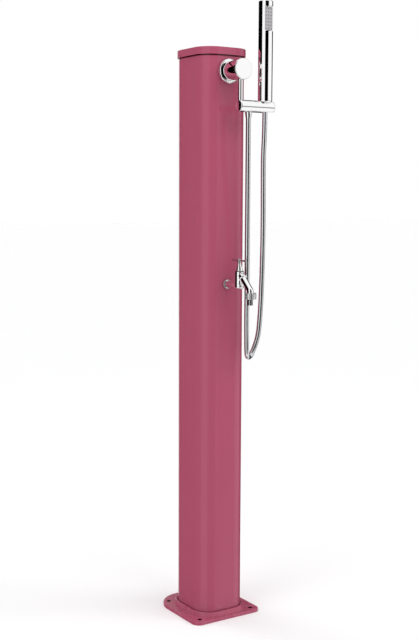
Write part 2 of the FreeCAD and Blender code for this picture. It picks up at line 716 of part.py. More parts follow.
def make_supply():
    tap_branch = "thread_tap + fit_gap"
    valve_branch = "thread_large + fit_gap"
    reach = "pipe_radius + socket_depth + %s" % tap_branch
    bend = "pipe_radius + socket_depth + %s" % valve_branch
    pipe("riser_lower", PIPE_FOOT, "tap_z - (%s) + socket_depth" % reach)
    pipe("riser_upper", "tap_z + (%s) - socket_depth" % reach, "valve_z - (%s) + socket_depth" % bend)

    behind = "washer_thick + column_wall + nut_thick*1.5"
    tee_low = "tap_z - (%s)" % reach
    run = cylinder(SOCKET_OUT, "2*(%s)" % reach, ("fittings_x", RISER_Y, tee_low))
    branch_at = ("fittings_x", RISER_Y, "tap_z")
    branch = cylinder("%s + branch_wall" % tap_branch, "riser_back - (%s)" % behind, branch_at, OUT)
    tee_cuts = [
        cylinder("pipe_bore", "2*(%s)" % reach, ("fittings_x", RISER_Y, tee_low)),
        cylinder("pipe_radius + fit_gap", "socket_depth", ("fittings_x", RISER_Y, tee_low)),
        cylinder(
            "pipe_radius + fit_gap", "socket_depth",
            ("fittings_x", RISER_Y, "tap_z + (%s) - socket_depth" % reach),
        ),
        cylinder("spout_bore", "riser_back", branch_at, OUT),
        cylinder(
            tap_branch, "tail_length",
            ("fittings_x", FRONT + "+tail_length + fit_gap", "tap_z"), OUT,
        ),
    ]
    piece(cut(joined(run, branch), *tee_cuts), "tee_fitting")

    leg_low = "valve_z - (%s)" % bend
    leg = cylinder(SOCKET_OUT, bend, ("fittings_x", RISER_Y, leg_low))
    arm_at = ("fittings_x", RISER_Y + "+thread_large", "valve_z")
    arm = cylinder(
        "%s + socket_wall" % valve_branch, "riser_back + thread_large - (%s)" % behind, arm_at, OUT,
    )
    elbow_cuts = [
        cylinder("pipe_bore", bend, ("fittings_x", RISER_Y, leg_low)),
        cylinder("pipe_radius + fit_gap", "socket_depth", ("fittings_x", RISER_Y, leg_low)),
        cylinder("pipe_bore", "riser_back", ("fittings_x", RISER_Y, "valve_z"), OUT),
        cylinder(
            valve_branch, "tail_length",
            ("fittings_x", FRONT + "+tail_length + fit_gap", "valve_z"), OUT,
        ),
    ]
    piece(cut(joined(leg, arm), *elbow_cuts), "elbow_fitting")


def wall_fastening(name, thread, z):
    """The washer and the backnut that draw a fitting against the front wall from inside."""
    inside = FRONT + "+column_wall"
    ring = [
        (thread + "+fit_gap", "0"),
        (thread + "+nut_wall + washer_rim", "0"),
        (thread + "+nut_wall + washer_rim", "-washer_thick"),
        (thread + "+fit_gap", "-washer_thick"),
    ]
    piece(turned(ring, ("fittings_x", inside, z), OUT), name + "_washer")
    at = ("fittings_x", inside + "+washer_thick + nut_thick", z)
    nut = hexagon(thread + "+nut_wall", "nut_thick", at, OUT)
    piece(cut(nut, cylinder(thread + "+fit_gap", "nut_thick", at, OUT)), name + "_backnut")


def wall_seal(name, inner, outer, z):
    """A flat rubber ring between the front wall and a fitting."""
    ring = [(inner, "0"), (outer, "0"), (outer, "seal_thick"), (inner, "seal_thick")]
    piece(turned(ring, ("fittings_x", FRONT, z), OUT), name + "_wall_seal")


# ---------------------------------------------------------------- shower valve

VALVE = ("fittings_x", FRONT, "valve_z")
NECK_BACK = "(seal_thick + flange_lip)"
DROP_Y = "(%s - drop_out)" % FRONT
KNOB_BACK = "(neck_reach + knob_gap)"


def make_valve():
    wall_seal("valve", "thread_large + fit_gap", "flange_radius - 2", "valve_z")
    wall_fastening("valve", "thread_large", "valve_z")

    face = "seal_thick + flange_thick"
    flange = [
        ("thread_large + fit_gap", "seal_thick"),
        ("flange_radius - 0.8", "seal_thick"),
        ("flange_radius", "seal_thick + 1.5"),
        ("flange_radius", face),
        ("neck_radius + fit_gap", face),
        ("neck_radius + fit_gap", NECK_BACK),
        ("thread_large + fit_gap", NECK_BACK),
    ]
    rounds = [("flange_radius", face, "flange_round")]
    piece(turned(flange, VALVE, OUT, rounds), "valve_flange")

    bore = "cartridge_radius + fit_gap"
    mouth = "cartridge_back + cartridge_length"
    neck = [
        ("pipe_bore", "-tail_length"),
        ("thread_large", "-tail_length"),
        ("thread_large", NECK_BACK),
        ("neck_radius", NECK_BACK),
        ("neck_radius", "neck_reach"),
        ("hub_radius + fit_gap*4", "neck_reach"),
        ("hub_radius + fit_gap*4", mouth),
        (bore, mouth),
        (bore, "cartridge_back"),
        ("pipe_bore", "cartridge_back"),
    ]
    body = turned(neck, VALVE, OUT, [("neck_radius", "neck_reach", "0.6")])
    foot = "valve_z - neck_radius"
    socket_at = ("fittings_x", DROP_Y, foot)
    socket = cylinder("drop_radius + fit_gap", "drop_sink + fit_gap", socket_at)
    port = cylinder("drop_bore", "neck_radius - cartridge_radius/2", socket_at)
    piece(cut(body, socket, port), "valve_body")

    cartridge = [
        ("0", "0"),
        ("cartridge_radius", "0"),
        ("cartridge_radius", "cartridge_length"),
        ("stem_radius + run_gap", "cartridge_length"),
        ("stem_radius + run_gap", "cartridge_length - stem_sink"),
        ("0", "cartridge_length - stem_sink"),
    ]
    seat = ("fittings_x", FRONT + "-cartridge_back", "valve_z")
    piece(turned(cartridge, seat, OUT), "valve_cartridge")

    stem_back = "cartridge_back + cartridge_length - stem_sink + knob_gap"
    stem_front = KNOB_BACK + " + knob_thick - knob_cover"
    stem = [("0", stem_back), ("stem_radius", stem_back), ("stem_radius", stem_front), ("0", stem_front)]
    piece(turned(stem, VALVE, OUT), "valve_stem")

    front = KNOB_BACK + " + knob_thick"
    hub_back = KNOB_BACK + " - hub_length"
    knob = [
        ("stem_radius + fit_gap", hub_back),
        ("hub_radius", hub_back),
        ("hub_radius", KNOB_BACK),
        ("knob_radius", KNOB_BACK),
        ("knob_radius", front),
        ("0", front),
        ("0", stem_front),
        ("stem_radius + fit_gap", stem_front),
    ]
    rounds = [("knob_radius", front, "knob_edge"), ("knob_radius", KNOB_BACK, "knob_edge/2")]
    disc = turned(knob, VALVE, OUT, rounds)
    grub_y = FRONT + "-(" + KNOB_BACK + ")-knob_thick/2"
    grub_at = ("fittings_x", grub_y, "valve_z - stem_radius")
    hole = cylinder("grub_radius + fit_gap", "knob_radius", grub_at, DOWN)
    piece(cut(disc, hole), "valve_knob")
    grub = [
        ("0", "fit_gap"),
        ("grub_radius", "fit_gap"),
        ("grub_radius", "fit_gap + grub_length"),
        ("0", "fit_gap + grub_length"),
    ]
    piece(turned(grub, grub_at, DOWN), "knob_grub_screw")


# ---------------------------------------------------------------- drop tube, holder arm and handset

ARM_TOP = "(arm_z + arm_radius)"
SEAT_Z = "(%s - foot_sink)" % ARM_TOP
FOOT_Z = "(%s + seat_gap)" % SEAT_Z
CONE_TOP_Z = "(%s - 0.1)" % FOOT_Z
CONE_FOOT_Z = "(%s - cone_length)" % CONE_TOP_Z
TOP_Z = "(%s + stick_length)" % FOOT_Z


def make_drop_tube():
    tube = [
        ("drop_bore", ARM_TOP + "-drop_sink"),
        ("drop_radius", ARM_TOP + "-drop_sink"),
        ("drop_radius", "valve_z - neck_radius + drop_sink"),
        ("drop_bore", "valve_z - neck_radius + drop_sink"),
    ]
    piece(turned(tube, ("fittings_x", DROP_Y, "0")), "drop_tube")


def make_holder_arm():
    start = "fittings_x - drop_radius"
    length = "arm_end_x - (%s)" % start
    bar = [("0", "0"), ("arm_radius", "0"), ("arm_radius", length), ("0", length)]
    rounds = [("arm_radius", "0", "arm_end_round"), ("arm_radius", length, "arm_end_round")]
    rod = turned(bar, (start, DROP_Y, "arm_z"), RIGHT, rounds)
    drop = ("fittings_x", DROP_Y, ARM_TOP + "-drop_sink - fit_gap")
    spot = (DROP_Y, SEAT_Z)
    cone_hole_foot = "cone_foot + seat_gap - (cone_top - cone_foot)/cone_length*seat_gap"
    cuts = [
        cylinder("drop_radius + fit_gap", "drop_sink*2", drop),
        cylinder("drop_bore", "arm_radius", ("fittings_x", DROP_Y, "arm_z")),
        cylinder("drop_bore", "outlet_x - fittings_x", ("fittings_x", DROP_Y, "arm_z"), RIGHT),
        cylinder("outlet_tail + fit_gap", "arm_radius", ("outlet_x", DROP_Y, "arm_z - arm_radius")),
        cylinder("stick_radius + seat_gap*2", "foot_sink*2", ("holder_x",) + spot),
        cone(cone_hole_foot, "cone_top + seat_gap", "cone_length", ("holder_x", DROP_Y, CONE_FOOT_Z)),
        cylinder("cone_top + seat_gap", "foot_sink", ("holder_x", DROP_Y, CONE_TOP_Z + "-fit_gap")),
        cylinder("slot_half + seat_gap", "arm_radius*2", ("holder_x", DROP_Y, "arm_z - arm_radius - 1")),
        block(
            "arm_end_x - holder_x + 1", "2*slot_half", "arm_radius*2 + 2",
            ("holder_x", DROP_Y + "-slot_half", "arm_z - arm_radius - 1"),
        ),
    ]
    piece(cut(rod, *cuts), "holder_arm")


def make_hose_ends():
    under_arm = ("outlet_x", DROP_Y, "arm_z - arm_radius")
    tail = [
        ("hose_bore*0.8", "outlet_tail_deep"),
        ("outlet_tail", "outlet_tail_deep"),
        ("outlet_tail", "-outlet_nut_length*0.6"),
        ("hose_bore*0.8", "-outlet_nut_length*0.6"),
    ]
    piece(turned(tail, under_arm), "hose_outlet_tail")
    nut = [
        ("outlet_tail + fit_gap", "-fit_gap"),
        ("outlet_nut_radius", "-fit_gap"),
        ("outlet_nut_radius", "-fit_gap - outlet_nut_length*0.25"),
        ("hose_radius + 0.2", "-fit_gap - outlet_nut_length"),
        ("hose_bore", "-fit_gap - outlet_nut_length"),
        ("hose_bore", "-outlet_nut_length*0.6 - fit_gap"),
        ("outlet_tail + fit_gap", "-outlet_nut_length*0.6 - fit_gap"),
    ]
    piece(turned(nut, under_arm), "hose_outlet_nut")

    bore = "spigot_radius + run_gap"
    floor = "-spigot_length - 1.5"
    holder = ("holder_x", DROP_Y, CONE_TOP_Z)
    cone_nut = [
        (bore, "0"),
        ("cone_top", "0"),
        ("cone_foot", "-cone_length"),
        ("hose_bore", "-cone_length"),
        ("hose_bore", floor),
        (bore, floor),
    ]
    piece(turned(cone_nut, holder), "hose_cone_nut")
    washer = [
        ("hose_bore", floor),
        ("spigot_radius - fit_gap", floor),
        ("spigot_radius - fit_gap", floor + " + 1"),
        ("hose_bore", floor + " + 1"),
    ]
    piece(turned(washer, holder), "hose_washer")


def make_hose():
    wire, radii = bent_wire(HOSE_ROUTE)
    hose = doc.addObject("Part::Feature", "Hose")
    hose.Shape = swept(wire, size("hose_radius"))
    expected = math.pi * size("hose_radius") ** 2 * wire.Length
    share = hose.Shape.Volume / expected
    print("hose length %.1f, volume against section times length %.5f" % (wire.Length, share))
    print("hose radii", " ".join("%.1f" % radius for radius in radii))
    piece(hose, "hose")


def make_handset():
    cap_foot = "stick_length - stick_cap"
    stick = [
        ("hose_bore", "-spigot_length"),
        ("spigot_radius", "-spigot_length"),
        ("spigot_radius", "0"),
        ("stick_radius", "0"),
        ("stick_radius", cap_foot),
        ("stick_bore", cap_foot),
        ("stick_bore", "stick_foot_round*2"),
        ("hose_bore", "stick_foot_round*2"),
    ]
    base = ("holder_x", DROP_Y, FOOT_Z)
    rod = turned(stick, base, UP, [("stick_radius", "0", "stick_foot_round")])
    chord = "sqrt(stick_radius*stick_radius - face_half*face_half)"
    face_low = TOP_Z + "-face_below_top - face_length"
    face_y = DROP_Y + "-" + chord
    room = block(
        "stick_radius*2", "stick_radius", "face_length",
        ("holder_x - stick_radius", face_y + "-stick_radius", face_low),
    )
    recess = block(
        "2*(face_half - 1.5)", "face_thick + mat_thick + 1", "face_length - 3",
        ("holder_x - face_half + 1.5", face_y, face_low + "+1.5"),
    )
    piece(cut(rod, room, recess), "handset_body")

    end_cap = [
        ("0", "-stick_cap*1.5"),
        ("stick_bore - fit_gap", "-stick_cap*1.5"),
        ("stick_bore - fit_gap", "0"),
        ("stick_radius", "0"),
        ("stick_radius", "stick_cap"),
        ("0", "stick_cap"),
    ]
    top = turned(end_cap, ("holder_x", DROP_Y, TOP_Z + "-stick_cap"), UP,
                 [("stick_radius", "stick_cap", "stick_top_round")])
    piece(top, "handset_end_cap")

    plate_x = "face_half - 1.5 - fit_gap"
    plate_z = "face_length - 3 - 2*fit_gap"
    low = face_low + "+1.5 + fit_gap"
    skin = block("2*(%s)" % plate_x, "face_thick", plate_z, ("holder_x - (%s)" % plate_x, face_y, low))
    mat = block(
        "2*(%s)" % plate_x, "mat_thick", plate_z,
        ("holder_x - (%s)" % plate_x, face_y + "+face_thick", low),
    )
    holes = []
    nubs = []
    columns = int(size("nozzle_columns"))
    rows = int(size("nozzle_rows"))
    for i in range(columns):
        for j in range(rows):
            x = "holder_x + (%d - (nozzle_columns - 1)/2)*nozzle_pitch_x" % i
            z = "%s + face_length/2 + (%d - (nozzle_rows - 1)/2)*nozzle_pitch_z" % (face_low, j)
            back = (x, face_y + "+face_thick", z)
            holes.append(cylinder("nozzle_hole", "face_thick", back, OUT))
            nubs.append(cylinder("nozzle_radius", "face_thick + nozzle_proud", back, OUT))
    piece(cut(skin, *holes), "spray_face")
    piece(joined(mat, *nubs), "nozzle_mat")


# ---------------------------------------------------------------- garden tap

TAP_Y = "(%s - tap_out)" % FRONT
BARREL_TOP = "(tap_z + barrel_top)"
HUB_FOOT = "(%s + bonnet_height + handle_gap)" % BARREL_TOP


def make_tap_body():
    inlet = [
        ("0", "-tail_length"),
        ("thread_tap", "-tail_length"),
        ("thread_tap", "seal_thick"),
        ("inlet_radius", "seal_thick"),
        ("inlet_radius", "tap_out + inlet_radius*1.4"),
        ("0", "tap_out + inlet_radius*1.4"),
    ]
    end = ("inlet_radius", "tap_out + inlet_radius*1.4", "inlet_radius*0.94")
    arm = turned(inlet, ("fittings_x", FRONT, "tap_z"), OUT, [end])
    barrel = [
        ("0", "-barrel_foot"),
        ("barrel_radius", "-barrel_foot"),
        ("barrel_radius", "barrel_top"),
        ("0", "barrel_top"),
    ]
    rounds = [("barrel_radius", "-barrel_foot", "barrel_foot*0.8"), ("barrel_radius", "barrel_top", "0.8")]
    column = turned(barrel, ("fittings_x", TAP_Y, "tap_z"), UP, rounds)

    x = size("fittings_x")
    y = size(TAP_Y)
    z = size("tap_z")
    mouth_y = y - size("spout_reach")
    route = [
        (x, y, z + size("spout_z")),
        (x, y - size("spout_bend"), z + size("spout_z")),
        (x, mouth_y, z + size("spout_knee_z")),
        (x, mouth_y, z + size("spout_mouth_z")),
    ]
    wire, _ = bent_wire(route)
    spout = doc.addObject("Part::Feature", "Spout")
    spout.Shape = swept(wire, size("spout_radius"))
    waterway = doc.addObject("Part::Feature", "SpoutBore")
    waterway.Shape = swept(wire, size("spout_bore"))
    along = (Vector(*route[2]) - Vector(*route[1])).normalize()
    root = Vector(*route[1]) + along * size("spout_collar_at")
    collar = doc.addObject("Part::Feature", "SpoutCollar")
    collar.Shape = Part.makeCylinder(size("spout_collar"), size("spout_collar_thick"), root, along)
    supply = cylinder(
        "spout_bore", "tail_length + tap_out - headwork_radius*0.5",
        ("fittings_x", FRONT + "+tail_length", "tap_z"), OUT,
    )
    rise = cylinder("spout_bore", "barrel_top", ("fittings_x", TAP_Y, "tap_z"))
    seat = cylinder(
        "headwork_radius + fit_gap", "headwork_length",
        ("fittings_x", TAP_Y, BARREL_TOP + "-headwork_length"),
    )
    piece(cut(joined(arm, column, spout, collar), waterway, supply, rise, seat), "tap_body")


def make_tap():
    wall_seal("tap", "thread_tap + fit_gap", "rose_foot", "tap_z")
    wall_fastening("tap", "thread_tap", "tap_z")
    rose = [
        ("inlet_radius + fit_gap", "seal_thick"),
        ("rose_foot", "seal_thick"),
        ("rose_foot", "seal_thick + rose_rim"),
        ("rose_radius", "seal_thick + rose_thick"),
        ("inlet_radius + fit_gap", "seal_thick + rose_thick"),
    ]
    rounds = [("rose_radius", "seal_thick + rose_thick", "1.2")]
    piece(turned(rose, ("fittings_x", FRONT, "tap_z"), OUT, rounds), "tap_rose")

    make_tap_body()
    top = ("fittings_x", TAP_Y, BARREL_TOP)
    stem_hole = "tap_stem + run_gap"
    headwork = [
        ("0", "-headwork_length"),
        ("headwork_radius", "-headwork_length"),
        ("headwork_radius", "-fit_gap"),
        (stem_hole, "-fit_gap"),
        (stem_hole, "-tap_stem_sink"),
        ("0", "-tap_stem_sink"),
    ]
    piece(turned(headwork, top), "tap_headwork")
    bonnet = [
        (stem_hole, "0"),
        ("barrel_radius - bonnet_inset", "0"),
        ("barrel_radius - bonnet_inset", "bonnet_collar"),
        ("bonnet_radius", "bonnet_collar + 0.8"),
        ("bonnet_neck + 0.4", "bonnet_height - 3"),
        ("bonnet_neck", "bonnet_height"),
        (stem_hole, "bonnet_height"),
    ]
    piece(turned(bonnet, top), "tap_bonnet")
    stem = [
        ("0", "-tap_stem_sink + handle_gap"),
        ("tap_stem", "-tap_stem_sink + handle_gap"),
        ("tap_stem", "bonnet_height + handle_gap + hub_socket"),
        ("0", "bonnet_height + handle_gap + hub_socket"),
    ]
    piece(turned(stem, top), "tap_stem")
    make_tap_handle()
    make_tap_outlet()


def make_tap_handle():
    hub_at = ("fittings_x", TAP_Y, HUB_FOOT)
    hub = [
        ("0", "0"),
        ("hub_foot_radius", "0"),
        ("hub_top_radius", "hub_top_height"),
        ("0", "hub_top_height"),
    ]
    boss = turned(hub, hub_at, UP, [("hub_top_radius", "hub_top_height", "1")])
    bar = [
        ("0", "-bar_half"),
        ("bar_end", "-bar_half"),
        ("bar_end", "-bar_half*0.8"),
        ("bar_waist", "-bar_half*0.25"),
        ("bar_waist", "bar_half*0.25"),
        ("bar_end", "bar_half*0.8"),
        ("bar_end", "bar_half"),
        ("0", "bar_half"),
    ]
    rounds = [("bar_end", "-bar_half", "bar_end*0.9"), ("bar_end", "bar_half", "bar_end*0.9")]
    rail = turned(bar, ("fittings_x", TAP_Y, HUB_FOOT + "+hub_top_height - bar_below_top"), OUT, rounds)
    socket = cylinder("tap_stem + fit_gap", "hub_socket + fit_gap", hub_at)
    screw_hole = cylinder("tap_stem*0.6", "hub_top_height", hub_at)
    piece(cut(joined(boss, rail), socket, screw_hole), "tap_handle")
    screw = [
        ("0", "hub_socket + fit_gap"),
        ("tap_stem*0.55", "hub_socket + fit_gap"),
        ("tap_stem*0.55", "hub_top_height"),
        ("tap_stem*1.1", "hub_top_height"),
        ("tap_stem*0.9", "hub_top_height + screw_proud"),
        ("0", "hub_top_height + screw_proud"),
    ]
    piece(turned(screw, hub_at), "tap_handle_screw")


def make_tap_outlet():
    mouth = ("fittings_x", TAP_Y + "-spout_reach", "tap_z")
    floor = "outlet_nut_top - knurled_height"
    body = turned(
        [
            ("nozzle_out + fit_gap", floor),
            ("knurled_radius", floor),
            ("knurled_radius", "outlet_nut_top"),
            ("spout_radius + fit_gap", "outlet_nut_top"),
            ("spout_radius + fit_gap", "spout_mouth_z - fit_gap*2"),
            ("nozzle_head + fit_gap", "spout_mouth_z - fit_gap*2"),
            ("nozzle_head + fit_gap", floor + "+2"),
            ("nozzle_out + fit_gap", floor + "+2"),
        ],
        rounds=[("knurled_radius", floor, "0.8"), ("knurled_radius", "outlet_nut_top", "0.8")],
    )
    groove = new_sketch(body, offset="outlet_nut_top")
    circle(groove, "knurled_radius + knurl_radius*0.35", "0", "knurl_radius")
    first = pocket(body, groove, "knurled_height")
    ring = body.newObject("PartDesign::PolarPattern", "Knurls")
    ring.Originals = [first]
    ring.Axis = (groove, ["N_Axis"])
    ring.Angle = 360
    bind(ring, "Occurrences", "knurls")
    body.Tip = ring
    doc.recompute()
    place(body, mouth)
    piece(body, "tap_outlet_nut")

    head_top = "spout_mouth_z - fit_gap*2 - 1.5"
    nozzle = [
        ("nozzle_bore", floor + "-nozzle_drop"),
        ("nozzle_out", floor + "-nozzle_drop"),
        ("nozzle_out", floor + "-thread_end"),
        ("nozzle_out - nozzle_step", floor + "-thread_end"),
        ("nozzle_out - nozzle_step", floor + "+2"),
        ("nozzle_head", floor + "+2"),
        ("nozzle_head", floor + "+2 + nozzle_head_thick"),
        ("nozzle_bore", floor + "+2 + nozzle_head_thick"),
    ]
    rounds = [("nozzle_out", floor + "-nozzle_drop", "0.8")]
    piece(turned(nozzle, mouth, UP, rounds), "tap_nozzle")
    washer = [
        ("nozzle_bore", floor + "+2 + nozzle_head_thick"),
        ("nozzle_head - 0.2", floor + "+2 + nozzle_head_thick"),
        ("nozzle_head - 0.2", head_top),
        ("nozzle_bore", head_top),
    ]
    piece(turned(washer, mouth), "tap_nozzle_washer")


make_base_plate()
make_column()
make_top_cap()
make_screws()
make_inlet()
make_supply()
make_valve()
make_drop_tube()
make_holder_arm()
make_hose_ends()
make_hose()
make_handset()
make_tap()
doc.recompute()

for thing in doc.Objects:
    if {"Invalid", "Error"} & set(thing.State):
        raise RuntimeError("%s (%s) is %s" % (thing.Name, thing.Label, thing.State))
for thing in pieces:
    if thing.Shape.isNull() or not thing.Shape.isValid():
        raise RuntimeError(thing.Label + " has no valid shape")

os.makedirs("parts", exist_ok=True)
for thing in pieces:
    thing.Shape.exportStep(os.path.join("parts", thing.Label + ".step"))
    print("%-20s %d solids, %9.1f mm3" % (thing.Label, len(thing.Shape.Solids), thing.Shape.Volume))
print(len(pieces), "pieces")
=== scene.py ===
import math

import bmesh
import bpy
from mathutils import Matrix, Vector, kdtree


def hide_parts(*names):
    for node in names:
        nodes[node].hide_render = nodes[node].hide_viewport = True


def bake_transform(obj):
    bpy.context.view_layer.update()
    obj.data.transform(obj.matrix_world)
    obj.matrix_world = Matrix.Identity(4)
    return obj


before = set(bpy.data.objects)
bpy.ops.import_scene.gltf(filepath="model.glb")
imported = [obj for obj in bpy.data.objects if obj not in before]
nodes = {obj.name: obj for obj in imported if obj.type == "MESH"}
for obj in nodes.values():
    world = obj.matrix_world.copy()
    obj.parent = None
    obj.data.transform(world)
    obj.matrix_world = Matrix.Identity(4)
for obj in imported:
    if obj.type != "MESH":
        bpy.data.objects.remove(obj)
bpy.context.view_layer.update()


def add_object(name, data):
    """A new object in the scene."""
    made = bpy.data.objects.new(name, data)
    bpy.context.scene.collection.objects.link(made)
    return made


# ------------------------------------------------------------------ camera

# The photograph's viewpoint, solved from the post's outline.
CAMERA_PLACE = (-1.2826, -1.9708, 0.8985)
CAMERA_LENS = 62.2
CAMERA_SENSOR = 36
CAMERA_TURN = math.radians(33.04)
CAMERA_DOWN = math.radians(6.38)
CAMERA_ROLL = math.radians(0.25)


def place_camera():
    data = bpy.data.cameras.new("photo_camera")
    data.lens = CAMERA_LENS
    data.sensor_width = CAMERA_SENSOR
    data.clip_start = 0.05
    data.clip_end = 60
    camera = add_object("photo_camera", data)
    turn_sine, turn_cosine = math.sin(CAMERA_TURN), math.cos(CAMERA_TURN)
    down_sine, down_cosine = math.sin(CAMERA_DOWN), math.cos(CAMERA_DOWN)
    ahead = Vector((turn_sine * down_cosine, turn_cosine * down_cosine, -down_sine))
    right = Vector((turn_cosine, -turn_sine, 0))
    up = right.cross(ahead)
    right_rolled = right * math.cos(CAMERA_ROLL) + up * math.sin(CAMERA_ROLL)
    up_rolled = up * math.cos(CAMERA_ROLL) - right * math.sin(CAMERA_ROLL)
    axes = Matrix((right_rolled, up_rolled, -ahead)).transposed()
    camera.matrix_world = Matrix.LocRotScale(Vector(CAMERA_PLACE), axes.to_quaternion(), None)
    bpy.context.scene.camera = camera


# ------------------------------------------------------------------ hose

HOSE_DIAMETER = 0.0105
# From the arm's outlet nut, round the loop's foot and up to the handset's cone nut.
HOSE_ROUTE = [
    (0.0190, -0.1122, 1.0554),
    (0.0190, -0.1122, 1.0130),
    (0.0206, -0.1096, 0.9580),
    (0.0241, -0.1047, 0.8850),
    (0.0265, -0.1011, 0.8050),
    (0.0275, -0.0997, 0.7350),
    (0.0263, -0.1013, 0.6700),
    (0.0237, -0.1051, 0.6260),
    (0.0227, -0.1073, 0.6000),
    (0.0231, -0.1071, 0.5780),
    (0.0295, -0.1009, 0.5648),
    (0.0411, -0.0949, 0.5654),
    (0.0497, -0.0925, 0.5775),
    (0.0563, -0.0931, 0.5925),
    (0.0601, -0.0957, 0.6110),
    (0.0619, -0.0977, 0.6370),
    (0.0631, -0.1005, 0.6860),
    (0.0628, -0.1037, 0.7450),
    (0.0619, -0.1072, 0.8300),
    (0.0589, -0.1102, 0.9150),
    (0.0574, -0.1117, 0.9850),
    (0.0598, -0.1122, 1.0280),
    (0.0598, -0.1122, 1.0708),
]


def route_mesh(name, bevel=0):
    """A mesh of the hose's route as one smooth spline: its line alone, or with its thickness."""
    curve = bpy.data.curves.new(name, "CURVE")
    curve.dimensions = "3D"
    curve.twist_mode = "MINIMUM"
    curve.resolution_u = 16
    curve.bevel_depth = bevel
    curve.bevel_resolution = 6
    curve.use_fill_caps = True
    spline = curve.splines.new("NURBS")
    spline.points.add(len(HOSE_ROUTE) - 1)
    for point, place in zip(spline.points, HOSE_ROUTE):
        point.co = (*place, 1)
    spline.order_u = 3
    spline.use_endpoint_u = True
    drawn = bpy.data.objects.new(name, curve)
    mesh = bpy.data.meshes.new_from_object(drawn)
    bpy.data.objects.remove(drawn)
    bpy.data.curves.remove(curve)
    return mesh


def mark_length(mesh, path):
    """Gives each vertex the length of hose up to it, for the winding in the hose's skin."""
    along = [0.0]
    for a, b in zip(path, path[1:]):
        along.append(along[-1] + (b - a).length)
    near = kdtree.KDTree(len(path))
    for i, point in enumerate(path):
        near.insert(point, i)
    near.balance()
    length = mesh.attributes.new("hose_length", "FLOAT", "POINT")
    length.data.foreach_set("value", [along[near.find(v.co)[1]] for v in mesh.vertices])


def make_hose():
    line = route_mesh("hose_line")
    path = [vertex.co.copy() for vertex in line.vertices]
    bpy.data.meshes.remove(line)
    mesh = route_mesh("hose_thick", HOSE_DIAMETER / 2)
    mesh.name = "hose_tube"
    tube = add_object("hose_tube", mesh)
    for polygon in mesh.polygons:
        polygon.use_smooth = True
    mark_length(mesh, path)
    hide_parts("hose")
    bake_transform(tube)
    return tube


place_camera()
hose = make_hose()


# ------------------------------------------------------------------ materials


class Wire:
    """A shader socket that takes part in Python sums: each step adds a Math node."""

    def __init__(self, sheet, socket):
        self.sheet = sheet
        self.socket = socket

    def _math(self, operation, *values):
        return self.sheet.node("ShaderNodeMath", {"operation": operation}, *values)

    def __add__(self, other):
        return self._math("ADD", self, other)

    def __radd__(self, other):
        return self._math("ADD", other, self)

    def __sub__(self, other):
        return self._math("SUBTRACT", self, other)

    def __rsub__(self, other):
        return self._math("SUBTRACT", other, self)

    def __mul__(self, other):
        return self._math("MULTIPLY", self, other)

    def wave(self):
        return self._math("SINE", self)

    def size(self):
        return self._math("ABSOLUTE", self)

    def larger(self, other):
        return self._math("MAXIMUM", self, other)

    def bearing(self, other):
        """The angle whose tangent is this value over the other."""
        return self._math("ARCTAN2", self, other)

    def wrapped(self):
        """An angle brought to within half a turn of zero."""
        return self._math("WRAP", self, math.pi, -math.pi)

    def above(self, level, width):
        """0 below a level and 1 above it, with a soft step of a given width."""
        ends = {"From Min": level - width / 2, "From Max": level + width / 2}
        settings = {"interpolation_type": "SMOOTHSTEP"}
        return self.sheet.node("ShaderNodeMapRange", settings, Value=self, **ends)


class Finish:
    """One material or world, made node by node."""

    def __init__(self, name, tree=None):
        if tree is None:
            self.material = bpy.data.materials.new(name)
            self.material.use_nodes = True
            tree = self.material.node_tree
        self.tree = tree
        tree.nodes.clear()

    def node(self, kind, settings=None, *values, out=0, **named):
        """Adds a node: its settings first, then the values or wires of its sockets.

        Gives one of its outputs, if it has any."""
        made = self.tree.nodes.new(kind)
        for key, value in (settings or {}).items():
            setattr(made, key, value)
        for key, value in [*enumerate(values), *named.items()]:
            if value is None:
                continue
            socket = made.inputs[key]
            if isinstance(value, Wire):
                self.tree.links.new(value.socket, socket)
            elif socket.type == "RGBA" and len(value) == 3:
                socket.default_value = (*value, 1)
            else:
                socket.default_value = value
        return Wire(self, made.outputs[out]) if made.outputs else None

    def place(self):
        return self.node("ShaderNodeTexCoord", out="Object")

    def stretched(self, x, y, z):
        """Object coordinates, drawn out along the axes with small numbers."""
        return self.node("ShaderNodeMapping", None, Vector=self.place(), Scale=(x, y, z))

    def parts(self, vector=None):
        """The three numbers of a vector."""
        split = self.node("ShaderNodeSeparateXYZ", None, Vector=vector or self.place())
        outputs = split.socket.node.outputs
        return [Wire(self, outputs[i]) for i in range(3)]

    def noise(self, scale, detail=2.0, rough=0.5, vector=None):
        named = {"Scale": scale, "Detail": detail, "Roughness": rough}
        return self.node("ShaderNodeTexNoise", None, Vector=vector or self.place(), **named)

    def mix(self, factor, first, second):
        """A colour between two, by a number or a wire from 0 to 1."""
        unused = (None,) * 5
        settings = {"data_type": "RGBA"}
        return self.node("ShaderNodeMix", settings, factor, *unused, first, second, out=2)

    def bump(self, height, distance, strength=1.0):
        named = {"Height": height, "Distance": distance, "Strength": strength}
        return self.node("ShaderNodeBump", None, **named)

    def surface(self, colour, rough, metal=0.0, **more):
        """Ends the material in one principled shader. Other sockets are named with underscores."""
        named = {"Base Color": colour, "Roughness": rough, "Metallic": metal}
        named.update({key.replace("_", " "): value for key, value in more.items()})
        self.output(self.node("ShaderNodeBsdfPrincipled", None, **named))
        return self.material

    def output(self, shader, kind="ShaderNodeOutputMaterial"):
        self.node(kind, None, Surface=shader)


def srgb(red, green, blue):
    """The shader's colour for a colour as it shows on a screen, 0 to 255."""
    values = [value / 255 for value in (red, green, blue)]
    return tuple(v / 12.92 if v <= 0.04045 else ((v + 0.055) / 1.055) ** 2.4 for v in values)


